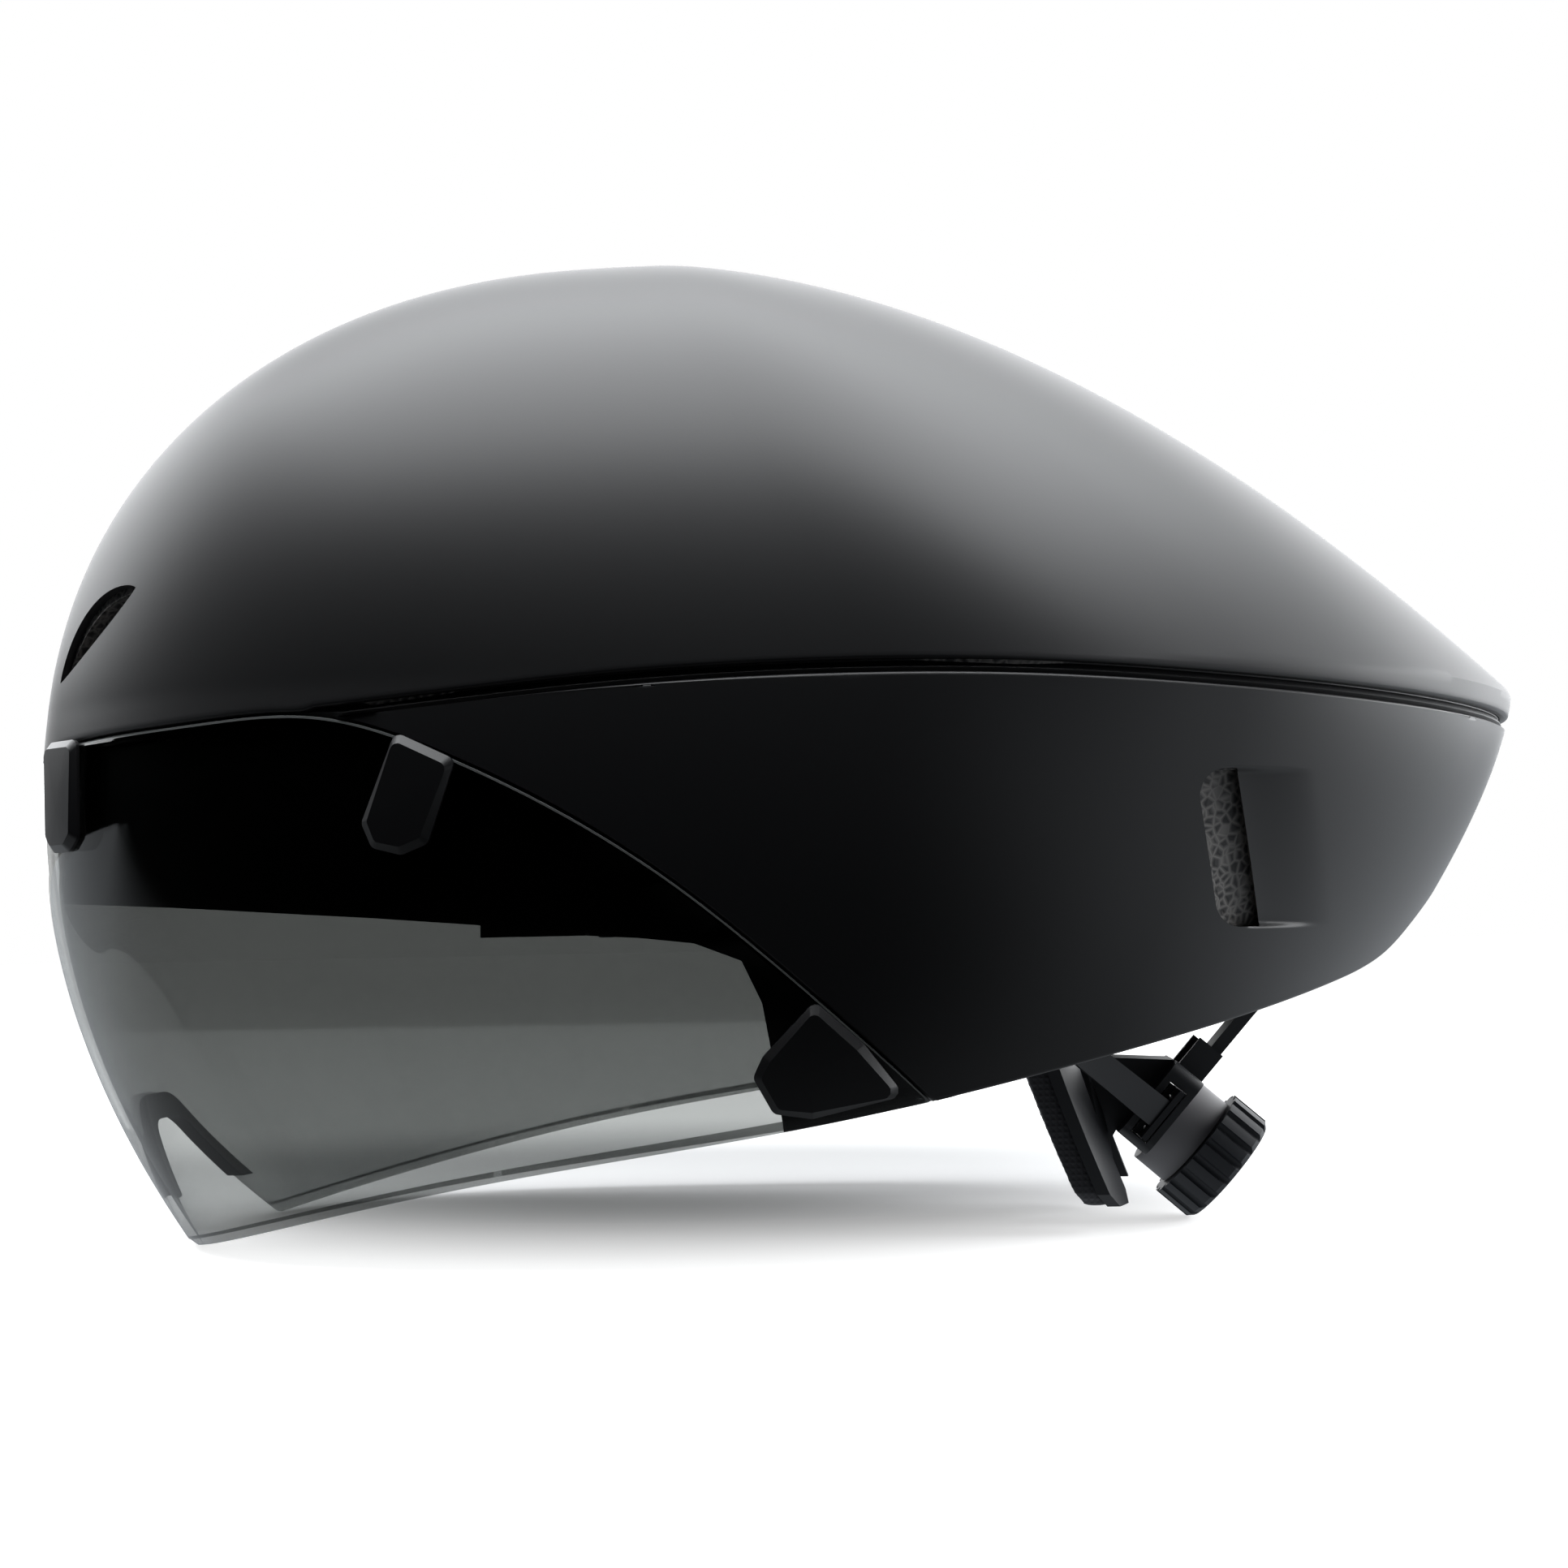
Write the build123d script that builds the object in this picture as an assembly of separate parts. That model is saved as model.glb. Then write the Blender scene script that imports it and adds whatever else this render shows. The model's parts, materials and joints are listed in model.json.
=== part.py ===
from build123d import *
import math
import os

os.makedirs("parts", exist_ok=True)

# Time trial helmet, standing on the two lens tips and the fit dial.
# Front faces -X, the tail is at +X, the table is z = 0, the middle plane is y = 0.

# Outer body
shell_length = 307.5
shell_height = 202.0
half_width = 104.0
front_x = -153.5
shell_t = 1.6
foam_gap = 0.3
overrun = 6.0
near_step = 1.0
crown_flat = 0.25
low_z = -2 * overrun

# Shares of the body that set its outline, in side view and in plan
crown_share = 0.418
nose_share = 0.44
belt_share = 0.53
wide_share = 0.58
chin_share = 0.098
tail_under_share = 0.23
tuck_share = 0.21
front_power = 2.6
rear_power = 1.8
brow_power = 2.2
crown_power = 2.15
tail_power = 1.84
chin_power = 2.05
under_power = 1.44
tuck_power = 1.8
blend_share = 0.5
ring_points = 20
upper_rings = 7
lower_rings = 5

# Parting between the two shells
groove_w = 2.2
parting_shares = [(-0.05, 0.508), (0.25, 0.510), (0.42, 0.528), (0.59, 0.5335)]
parting_shares += [(0.775, 0.523), (0.955, 0.508), (1.05, 0.500)]

# Bottom edge of the shell and of the lens
bottom_shares = [(0.109, 0.0), (0.32, 0.0755), (0.539, 0.131), (0.71, 0.185), (0.86, 0.2445), (0.886, 0.259)]
bottom_shares += [(0.904, 0.275), (0.918, 0.294), (0.935, 0.320), (0.96, 0.355), (1.05, 0.45)]

# Lens
lens_t = 2.0
lens_gap = 0.6
rim_w = 3.0
pocket = lens_t + lens_gap
lens_top_shares = [(-0.05, 0.486), (0.0, 0.489), (0.072, 0.4955), (0.17, 0.502), (0.254, 0.500)]
lens_top_shares += [(0.334, 0.458), (0.465, 0.340), (0.539, 0.244), (0.60, 0.155), (0.64, 0.09)]
notch_half_w = 30.0
notch_h = 24.5
notch_r = 9.0
trim_w = 4.5
trim_skin = 0.7
trim_fit = 0.15
trim_foot = 9.0

# Opening for the face, in side view
brow_shares = [(-0.05, 0.352), (0.14, 0.336), (0.28, 0.321), (0.397, 0.306), (0.470, 0.293)]
ear_shares = [(0.497, 0.277), (0.508, 0.240), (0.514, 0.180), (0.522, 0.06), (0.524, -0.10), (-0.05, -0.10)]

# Tabs on the lens and their magnets
tab_t = 1.7
tab_lift = 0.3
magnet_d = 6.0
magnet_t = 1.4
magnet_fit = 0.25
front_tab_shares = [(0.037, 0.501), (0.075, 0.499), (0.075, 0.405), (0.067, 0.393), (0.045, 0.393)]
front_tab_shares += [(0.037, 0.405)]
side_tab_shares = [(0.300, 0.484), (0.336, 0.458), (0.318, 0.385), (0.302, 0.376), (0.284, 0.383)]
side_tab_shares += [(0.278, 0.405)]
rear_tab_shares = [(0.539, 0.242), (0.566, 0.204), (0.588, 0.158), (0.535, 0.139), (0.513, 0.144)]
rear_tab_shares += [(0.502, 0.176), (0.508, 0.194)]
tab_shares = {"front": front_tab_shares, "side": side_tab_shares, "rear": rear_tab_shares}
magnet_shares = {"front": (0.057, 0.450), "side": (0.308, 0.425), "rear": (0.540, 0.178)}

# Vents
front_vent_tip_shares = (0.119, 0.638)
front_vent_foot_shares = (0.048, 0.560)
front_vent_w = 9.0
front_vent_deep = 16.0
rear_vent_shares = [(0.762, 0.405), (0.768, 0.437), (0.786, 0.438), (0.802, 0.299), (0.786, 0.297)]
rear_vent_shares += [(0.778, 0.310)]
rear_vent_deep = 20.0
roof_channel_w = 12.0
roof_channel_deep = 9.0
roof_channel_y = 24.0
roof_lane_share = 0.72
cross_seam_x = -20.0

# Hollow for the head
head_length = 196.0
head_width = 156.0
head_back_x = 68.0
head_top = 171.0
head_wall_top = 72.0

# Pads
pad_t = 5.5
pad_gap = 0.4
brow_pad_h = 24.0
brow_pad_z = 90.0
brow_pad_share = 0.30
side_pad_shares = (0.27, 0.395, 0.45, 0.60)
crown_pad_l = 62.0
crown_pad_w = 22.0
crown_pad_x = -42.0

# Chin strap
strap_w = 15.0
strap_t = 1.5
strap_off = 2.0
strap_x = 19.0
strap_gap = 0.4
anchor_z = 94.0
front_reach = 32.0
rear_reach = 22.0
anchor_d = 17.0
anchor_t = 3.0
anchor_rise = 9.0
plate_lift = 0.8
anchor_out_share = 0.5
divider_z = 79.5
divider_h = 16.0
divider_w = 24.0
divider_t = 4.2
divider_lift = 0.8
divider_gap = 1.4
buckle_w = 21.0
buckle_female_l = 20.0
buckle_male_l = 14.0
buckle_t = 6.0
buckle_wall = 1.5
buckle_off = 6.2
prong_l = 9.5
prong_w = 3.6
slack_end = 5.0
keeper_y = 42.0
keeper_w = 7.0
keeper_t = 0.9

# Fit system, dial turned 41 degrees down
dial_tilt = 41.0
dial_d = 26.0
dial_t = 9.0
dial_edge = 1.0
dial_dome = 1.6
dial_x = 86.3
dial_gap = 0.3
grip_t = 2.6
knurl_count = 20
knurl_d = 1.8
shaft_d = 5.0
shaft_fit = 0.3
cap_d = 9.0
cap_t = 1.4
pinion_d = 8.2
pinion_teeth = 10
tooth_h = 1.1
tooth_gap_share = 0.8
rack_t = 1.2
rack_gap = 0.5
rack_w = 12.6
rack_inner = 13.0
rack_outer = 19.0
rack_tooth_h = 0.8
rack_pitch = 2.4
rack_teeth = 7
base_d = 21.0
base_t = 8.0
housing_w = 32.0
housing_h = 19.0
housing_t = 7.2
housing_wall = 1.5
housing_r = 3.0
housing_rise = 1.0
ear_t = 1.8
ear_h = 7.0
ear_l = 6.0
ear_gap = 0.4
belt_t = 1.2
belt_w = 6.5
belt_off = 5.0
belt_front_x = -50.0
belt_rear_x = 48.0
belt_front_z = 65.5
belt_bend_x = -5.0
belt_bend_z = 62.5
belt_rear_z = 48.0
temple_l = 20.0
temple_h = 9.0
temple_t = 2.7
temple_in = 9.0

# Cradle behind the head
cradle_axis_x = -10.0
cradle_t = 2.4
cradle_top_x = 53.0
cradle_top_z = 66.0
cradle_mid_x = 61.0
cradle_mid_z = 34.0
cradle_foot_x = 71.0
cradle_foot_z = 5.0
cradle_half_w = 31.0
cradle_turn = 34.0
arm_in = 19.0
web_lap = 1.0
stem_half_w = 8.0
cross_h = 9.0
web_w = 8.0
web_top_z = 36.0
arm_round = 5.0
bridge_low_z = 9.0
nape_pad_t = 4.5
nape_pad_in = 1.5

# Height mast and its socket
mast_w = 12.0
mast_t = 2.6
mast_back = 9.6
mast_low = 10.9
mast_high = 60.0
mast_notch_d = 2.0
mast_notches = 5
mast_notch_pitch = 4.0
socket_wall = 1.8
socket_fit = 0.35
socket_low = 36.0
socket_high = 78.0
socket_mouth = 12.0
relief_front_x = 45.0
relief_top_z = 76.0
relief_back_x = 95.0
relief_back_z = 44.0
relief_half_w = 50.0


low_align = (Align.CENTER, Align.CENTER, Align.MIN)
high_align = (Align.CENTER, Align.CENTER, Align.MAX)


def at(share):
    return (front_x + share[0] * shell_length, share[1] * shell_height)


def points(shares):
    return [at(share) for share in shares]


# Width of the plan from front (-1) to rear (1); its roundness changes smoothly at the widest place
def plan_share(share):
    blend = min(1, max(0, (share + blend_share) / (2 * blend_share)))
    power = front_power + (rear_power - front_power) * blend * blend * (3 - 2 * blend)
    return max(0, 1 - abs(share) ** power) ** (1 / power)


# One closed ring of the body at a level, drawn in by an inset
def body_size(z, inset):
    front = front_x + inset
    rear = front_x + shell_length - inset
    top = shell_height - inset
    half = half_width - inset
    crown = front_x + crown_share * shell_length
    nose = nose_share * shell_height
    belt = belt_share * shell_height
    if z > nose:
        rise = min(1, (z - nose) / (top - nose))
        x_front = crown - (crown - front) * (1 - rise ** brow_power) ** (1 / brow_power)
    else:
        x_front = front + chin_share * shell_length * ((nose - z) / nose) ** chin_power
    if z > belt:
        rise = min(1, (z - belt) / (top - belt))
        x_rear = crown + (rear - crown) * (1 - rise) ** (1 / tail_power)
        half = half * (1 - rise ** crown_power) ** (1 / crown_power)
    else:
        drop = (belt - z) / belt
        x_rear = rear - tail_under_share * shell_length * drop ** under_power
        half = half - tuck_share * half_width * drop ** tuck_power
    return x_front, x_rear, half


def body_ring(z, inset):
    x_front, x_rear, half = body_size(z, inset)
    x_wide = x_front + wide_share * (x_rear - x_front)
    ring = []
    for step in range(ring_points):
        turn = 2 * math.pi * step / ring_points
        along = math.cos(turn)
        across = math.sin(turn)
        power = rear_power if along > 0 else front_power
        reach = x_rear - x_wide if along > 0 else x_wide - x_front
        share = math.copysign(abs(along) ** (2 / power), along)
        y = math.copysign(half * plan_share(share), across) if abs(share) < 1 else 0
        ring.append((x_wide + reach * share, y, z))
    return closed_wire(ring)


def closed_wire(ring):
    steps = [step / len(ring) for step in range(len(ring) + 1)]
    return Wire([Edge.make_spline(ring, periodic=True, parameters=steps)])


def body_form(inset):
    belt = belt_share * shell_height
    top = shell_height - inset
    upper = []
    for step in range(upper_rings):
        rise = math.sin(math.pi / 2 * step / upper_rings)
        upper.append(body_ring(belt + (top - belt) * rise, inset))
    upper.append(body_ring(top - crown_flat, inset))
    lower = []
    for step in range(lower_rings):
        z = -overrun + (belt + overrun) * step / (lower_rings - 1)
        lower.append(body_ring(z, inset))
    return Solid.make_loft(lower) + Solid.make_loft(upper)


# Half width of the body at a place in side view, and the frame square to its skin
def body_y(x, z, inset=0.0):
    x_front, x_rear, half = body_size(z, inset)
    x_wide = x_front + wide_share * (x_rear - x_front)
    reach = x_rear - x_wide if x > x_wide else x_wide - x_front
    return half * plan_share((x - x_wide) / reach)


def skin_plane(x, z, side):
    step = shell_t
    y = body_y(x, z)
    slope_x = (body_y(x + step, z) - body_y(x - step, z)) / (2 * step)
    slope_z = (body_y(x, z + step) - body_y(x, z - step)) / (2 * step)
    out = Vector(-slope_x, side, -slope_z)
    return Plane(origin=(x, side * y, z), x_dir=Vector(0, 0, 1).cross(out), z_dir=out)


# A slab through the whole width with the given outline in side view
def side_slab(outline):
    face = Plane.XZ * make_face(Polyline(*outline, close=True))
    return extrude(face, amount=half_width + overrun, both=True)


def slab_under(shares, low, shift=(0, 0)):
    line = [(x + shift[0], z + shift[1]) for x, z in points(shares)]
    curve = Spline(*line)
    down = Polyline(line[-1], (line[-1][0], low), (line[0][0], low), line[0])
    return extrude(Plane.XZ * make_face([curve, down]), amount=half_width + overrun, both=True)


def halves(solid):
    left = (Align.CENTER, Align.MAX, Align.CENTER)
    big = Box(4 * shell_length, 2 * half_width, 4 * shell_height, align=left)
    return solid & big, solid - big


def save(name, shape):
    solids = shape.solids()
    best = solids[0] if len(solids) == 1 else Compound(children=list(solids))
    export_step(best, f"parts/{name}.step")
    print(name, len(solids), round(sum(solid.volume for solid in solids), 1))


form_out = body_form(0)
form_skin = body_form(shell_t)
form_foam = body_form(shell_t + foam_gap)
form_lens = body_form(lens_t)
form_pocket = body_form(pocket)
form_pocket_in = body_form(pocket + shell_t)
form_pocket_foam = body_form(pocket + shell_t + foam_gap)

under_parting = slab_under(parting_shares, low_z)
under_groove = slab_under(parting_shares, low_z, (0, -groove_w))
under_bottom = slab_under(bottom_shares, low_z)
lens_side = slab_under(lens_top_shares, low_z)
lens_room = slab_under(lens_top_shares, low_z, (lens_gap, lens_gap))
lens_rim = slab_under(lens_top_shares, low_z, (rim_w, rim_w))
foam_rim = slab_under(lens_top_shares, low_z, (rim_w + foam_gap, rim_w + foam_gap))
face_gap = side_slab(points(brow_shares) + points(ear_shares))


# Hollow for the head, grown or shrunk by an offset: a straight wall under half an ellipsoid
def head_form(offset):
    half_l = head_length / 2 - offset
    half_w = head_width / 2 - offset
    high = head_top - head_wall_top - offset
    egg = scale(Sphere(1), by=(half_l, half_w, high))
    dome = egg & Box(3 * half_l, 3 * half_w, 3 * high, align=low_align)
    wall = extrude(Ellipse(half_l, half_w), amount=-head_wall_top - overrun)
    return Pos(head_back_x - head_length / 2, 0, head_wall_top) * (wall + dome)


def head_layer(near, far):
    return head_form(near) - head_form(far)


# The straight wall alone, under the dome of the hollow
def head_wall(offset):
    wall = extrude(Ellipse(head_length / 2 - offset, head_width / 2 - offset), amount=head_wall_top)
    return Pos(head_back_x - head_length / 2, 0, 0) * wall


def head_y(x, offset):
    half_l = head_length / 2 - offset
    middle = head_back_x - head_length / 2
    return (head_width / 2 - offset) * math.sqrt(1 - ((x - middle) / half_l) ** 2)


# Front vents, a leaf on each side, cut square to the skin
def leaf_vent(side, deep):
    tip = at(front_vent_tip_shares)
    foot = at(front_vent_foot_shares)
    start = Vector(foot[0], side * body_y(*foot), foot[1])
    end = Vector(tip[0], side * body_y(*tip), tip[1])
    middle = (start + end) / 2
    along = (end - start).normalized()
    out = skin_plane((foot[0] + tip[0]) / 2, (foot[1] + tip[1]) / 2, side).z_dir
    frame = Plane(origin=middle, x_dir=along, z_dir=along.cross(out.cross(along)) * -1)
    if frame.z_dir.dot(out) < 0:
        frame = Plane(origin=middle, x_dir=along, z_dir=frame.z_dir * -1)
    half = (end - start).length / 2
    upper = ThreePointArc((-half, 0), (0, front_vent_w / 2), (half, 0))
    lower = ThreePointArc((-half, 0), (0, -front_vent_w / 2), (half, 0))
    face = frame * make_face([upper, lower])
    return extrude(face, amount=deep, dir=-frame.z_dir) + extrude(face, amount=deep, dir=frame.z_dir)


def rear_slots(deep):
    slab = side_slab(points(rear_vent_shares))
    middle = at(rear_vent_shares[3])
    inner = body_y(*middle) - deep
    core = Box(shell_length, 2 * inner, 2 * shell_height)
    return slab - Pos(middle[0], 0, middle[1]) * core


vents = leaf_vent(-1, front_vent_deep) + leaf_vent(1, front_vent_deep) + rear_slots(rear_vent_deep)


def magnet_plane(name, side):
    x, z = at(magnet_shares[name])
    return skin_plane(x, z, side)


def disc(name, side, top, bottom, diameter):
    plane = magnet_plane(name, side)
    return plane * Pos(0, 0, (top + bottom) / 2) * Cylinder(diameter / 2, top - bottom)


def all_discs(top, bottom, diameter):
    group = []
    for name in magnet_shares:
        for side in (-1, 1):
            group.append(disc(name, side, top, bottom, diameter))
    return group


# Shells
def make_upper_shell():
    shell = (form_out - form_skin) - under_parting
    lens_cut = slab_under(lens_top_shares, low_z, (0, lens_gap))
    save("upper_shell", shell - lens_cut - vents)


def make_lower_shell():
    outside = form_out - (lens_room - form_pocket)
    inside = (form_skin - lens_rim) + form_pocket_in
    shell = (outside - inside) & under_groove
    shell = shell - under_bottom - face_gap - vents
    save("lower_shell", shell - all_discs(overrun, -2 * overrun, magnet_d + 2 * magnet_fit))


def make_foam():
    foam = form_foam - (foam_rim - form_pocket_foam)
    foam = foam - head_form(0) - under_bottom - face_gap - vents
    roof = head_form(-roof_channel_deep)
    lane = Box(head_length * roof_lane_share, roof_channel_w, head_top)
    lanes = [Pos(crown_pad_x, side * roof_channel_y, head_top) * lane for side in (-1, 1)]
    foam = foam - [roof & lane for lane in lanes]
    foam = foam - all_discs(overrun, -pocket - shell_t - 2 * magnet_t - foam_gap, magnet_d + 2 * magnet_fit)
    foam = foam - dial_frame * socket_block(socket_fit) - nape_relief()
    foam = foam - dial_frame * Pos(-socket_mouth, 0, 0) * socket_block(socket_fit)
    save("foam_liner", foam - glue_seams())


# Thin seams between the four sections of the liner
def glue_seams():
    long_seam = Box(4 * shell_length, foam_gap, 4 * shell_height)
    cross_seam = Pos(cross_seam_x, 0, 0) * Box(foam_gap, 4 * half_width, 4 * shell_height)
    return long_seam + cross_seam


# Room behind the neck for the cradle and the belts
def nape_relief():
    outline = [(relief_front_x, relief_top_z), (head_back_x - overrun, relief_top_z)]
    outline += [(relief_back_x, relief_back_z), (relief_back_x, low_z), (relief_front_x, low_z)]
    face = Plane.XZ * make_face(Polyline(*outline, close=True))
    return extrude(face, amount=relief_half_w, both=True)


# Frame of the dial: z along its axis, pointing back and down, x up along its face
tilt = math.radians(dial_tilt)
dial_axis = Vector(math.cos(tilt), 0, -math.sin(tilt))
dial_up = Vector(math.sin(tilt), 0, math.cos(tilt))
dial_z = dial_d / 2 * math.cos(tilt) + (dial_t - dial_edge) * math.sin(tilt)
dial_frame = Plane(origin=(dial_x, 0, dial_z), x_dir=dial_up, z_dir=dial_axis)


def socket_block(grow):
    block = Box(socket_high - socket_low + 2 * grow, socket_w + 2 * grow, socket_deep + 2 * grow)
    return Pos((socket_high + socket_low) / 2, 0, -mast_back) * block


socket_w = mast_w + 2 * socket_wall + 2 * socket_fit
socket_deep = mast_t + 2 * socket_wall + 2 * socket_fit


# Lens with its nose cut-out
def notch_slab(grow):
    half = notch_half_w + grow
    high = notch_h + grow
    flat = notch_r
    outline = [(-half, low_z), (-half, 0), (-flat, high), (flat, high), (half, 0), (half, low_z)]
    face = Plane.YZ * make_face(Polyline(*outline, close=True))
    slab = Pos(front_x - overrun, 0, 0) * extrude(face, amount=shell_length / 3)
    long_edges = [edge for edge in slab.edges() if edge.length > shell_length / 4]
    return fillet([edge for edge in long_edges if edge.center().Z > high - notch_r], notch_r)


def make_lens():
    lens = ((form_out - form_lens) & lens_side) - under_bottom - notch_slab(0)
    lens = lens & Pos(0, 0, shell_height / 2) * Box(4 * shell_length, 4 * half_width, shell_height)
    save("shield_lens", lens - all_discs(overrun, -overrun, magnet_d + 2 * magnet_fit))


def make_trim():
    band = body_form(-trim_skin) - body_form(lens_t + trim_skin)
    band = band & (notch_slab(trim_w) - notch_slab(-trim_skin))
    groove = (body_form(-trim_fit) - body_form(lens_t + trim_fit)) - notch_slab(-trim_fit)
    trim = band - groove
    above = Pos(0, 0, trim_foot) * Box(4 * shell_length, 4 * half_width, shell_height, align=low_align)
    save("nose_trim", trim & above)


# Tabs that carry the magnets of the lens
def make_tabs():
    outer = body_form(-tab_lift - tab_t)
    inner = body_form(-tab_lift)
    layer = outer - inner
    for name, shares in tab_shares.items():
        left, right = halves(layer & side_slab(points(shares)))
        save(f"{name}_tab_left", left)
        save(f"{name}_tab_right", right)
    save("shield_magnets", Compound(children=all_discs(tab_lift / 2, tab_lift / 2 - magnet_t, magnet_d)))
    top = -pocket - foam_gap
    save("helmet_magnets", Compound(children=all_discs(top, top - 2 * magnet_t, magnet_d)))


# Pads stuck into the liner
def make_pads():
    layer = head_layer(pad_gap, pad_gap + pad_t)
    band = Pos(front_x, 0, brow_pad_z) * Box(shell_length * brow_pad_share, 4 * half_width, brow_pad_h)
    save("brow_pad", layer & band)
    left, right, low, high = side_pad_shares
    a = front_x + left * shell_length
    b = front_x + right * shell_length
    bottom = low * shell_height
    top = high * shell_height
    slab = side_slab([(a, bottom), (b, bottom), (b, top), (a, top)])
    roof = Pos(0, 0, head_wall_top) * Box(4 * shell_length, head_width, shell_height, align=low_align)
    one, two = halves(layer & slab & roof)
    save("side_pad_left", one)
    save("side_pad_right", two)
    box = Pos(crown_pad_x, 0, head_top) * Box(crown_pad_l, crown_pad_w, head_top - head_wall_top)
    save("crown_pad", layer & box)


# Chin strap, tucked up along the inside of the liner
def wall_strip(start, end, width):
    across = Vector(start[1] - end[1], end[0] - start[0]).normalized() * (width / 2)
    outline = [(start[0] + across.X, start[1] + across.Y), (end[0] + across.X, end[1] + across.Y)]
    outline += [(end[0] - across.X, end[1] - across.Y), (start[0] - across.X, start[1] - across.Y)]
    return side_slab(outline)


def make_straps():
    layer = head_layer(strap_off, strap_off + strap_t)
    join_z = divider_z + divider_h / 2 + strap_gap
    arch = Box(strap_w, 4 * half_width, shell_height, align=low_align)
    left, right = halves(layer & (Pos(strap_x, 0, join_z) * arch))
    reach = buckle_female_l + strap_gap
    save("chin_strap_left", left - middle_block(reach))
    save("chin_strap_right", right - middle_block(slack_end))
    reach = divider_w / 2 + divider_gap
    front = wall_strip((strap_x - reach, divider_z), (strap_x - front_reach, anchor_z), strap_w)
    rear = wall_strip((strap_x + reach, divider_z), (strap_x + rear_reach, anchor_z), strap_w)
    side_walls = Pos(strap_x, 0, 0) * Box(2 * reach, 4 * half_width, 4 * shell_height)
    for name, slab in {"front": front, "rear": rear}.items():
        left, right = halves((layer & slab) - side_walls)
        save(f"{name}_strap_left", left)
        save(f"{name}_strap_right", right)
    outer = head_layer(strap_off - strap_gap - keeper_t, strap_off + strap_t + strap_gap + keeper_t)
    inner = head_layer(strap_off - strap_gap, strap_off + strap_t + strap_gap)
    wide = Box(strap_w + 2 * strap_gap + 2 * keeper_t, keeper_w, shell_height)
    narrow = Box(strap_w + 2 * strap_gap, 2 * keeper_w, shell_height)
    spot = Pos(strap_x, keeper_y, head_top)
    save("strap_keeper", (outer & (spot * wide)) - (inner & (spot * narrow)))


def middle_block(reach):
    return Box(4 * shell_length, 2 * reach, 4 * shell_height)


# Buckle halves, flat under the roof of the hollow, x towards the tail and y to the right
def roof_z(x):
    middle = head_back_x - head_length / 2
    share = (x - middle) / (head_length / 2)
    return head_wall_top + (head_top - head_wall_top) * math.sqrt(1 - share ** 2)


def roof_frame():
    slope = (roof_z(strap_x + near_step) - roof_z(strap_x - near_step)) / (2 * near_step)
    along = Vector(1, 0, slope).normalized()
    up = Vector(-slope, 0, 1).normalized()
    origin = Vector(strap_x, 0, roof_z(strap_x)) - up * (buckle_off + buckle_t / 2)
    return Plane(origin=origin, x_dir=along, z_dir=up)


def make_buckle():
    inner_w = buckle_w - 2 * buckle_wall
    inner_t = buckle_t - 2 * buckle_wall
    low = (Align.CENTER, Align.MIN, Align.CENTER)
    high = (Align.CENTER, Align.MAX, Align.CENTER)
    female = Box(buckle_w, buckle_female_l, buckle_t, align=high)
    female = fillet(female.edges().filter_by(Axis.Z), buckle_wall)
    female = female - Box(inner_w, prong_l + 2 * buckle_wall, inner_t, align=high)
    window = Pos(0, -prong_l + buckle_wall, 0) * Box(2 * buckle_w, prong_w, inner_t)
    save("buckle_female", roof_frame() * (female - window))
    male = Pos(0, strap_gap, 0) * Box(buckle_w, buckle_male_l, buckle_t, align=low)
    male = fillet(male.edges().filter_by(Axis.Z), buckle_wall)
    slot = Pos(0, buckle_male_l - 2 * buckle_wall - prong_w / 2, 0) * Box(inner_w, prong_w, 2 * buckle_t)
    male = male - slot
    prong = Box(prong_w, prong_l + strap_gap + buckle_wall, inner_t - 2 * foam_gap, align=high)
    for place in (-1, 0, 1):
        reach = place * (inner_w / 2 - prong_w / 2 - foam_gap)
        male = male + Pos(reach, strap_gap + buckle_wall, 0) * prong
    save("buckle_male", roof_frame() * male)


def make_anchors():
    plates = []
    dividers = []
    for side in (-1, 1):
        for reach in (-front_reach, rear_reach):
            x = strap_x + reach + math.copysign(anchor_d / 2, reach) * anchor_out_share
            plates.append(wall_disc(x, anchor_z + anchor_rise, side, anchor_d, anchor_t))
        spot = wall_plane(strap_x, divider_z, side, strap_off + strap_t / 2 + divider_lift)
        dividers.append(spot * Box(divider_w, divider_h, divider_t))
    save("strap_anchors", Compound(children=plates))
    save("strap_divider_left", dividers[0])
    save("strap_divider_right", dividers[1])


# Frame on the wall of the hollow: z points at the head, x runs towards the tail
def head_scale(z):
    rise = max(0, (z - head_wall_top) / (head_top - head_wall_top))
    return math.sqrt(1 - rise ** 2)


def wall_y(x, z):
    share = head_scale(z)
    middle = head_back_x - head_length / 2
    return share * head_width / 2 * math.sqrt(1 - ((x - middle) / (share * head_length / 2)) ** 2)


def wall_plane(x, z, side, offset):
    y = wall_y(x, z)
    slope_x = (wall_y(x + near_step, z) - wall_y(x - near_step, z)) / (2 * near_step)
    slope_z = (wall_y(x, z + near_step) - wall_y(x, z - near_step)) / (2 * near_step)
    inward = Vector(slope_x, -side, slope_z).normalized()
    forward = Vector(1, side * slope_x, 0).normalized()
    return Plane(origin=Vector(x, side * y, z) + inward * offset, x_dir=forward, z_dir=inward)


def wall_disc(x, z, side, diameter, thick):
    return wall_plane(x, z, side, plate_lift + thick / 2) * Cylinder(diameter / 2, thick)


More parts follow.
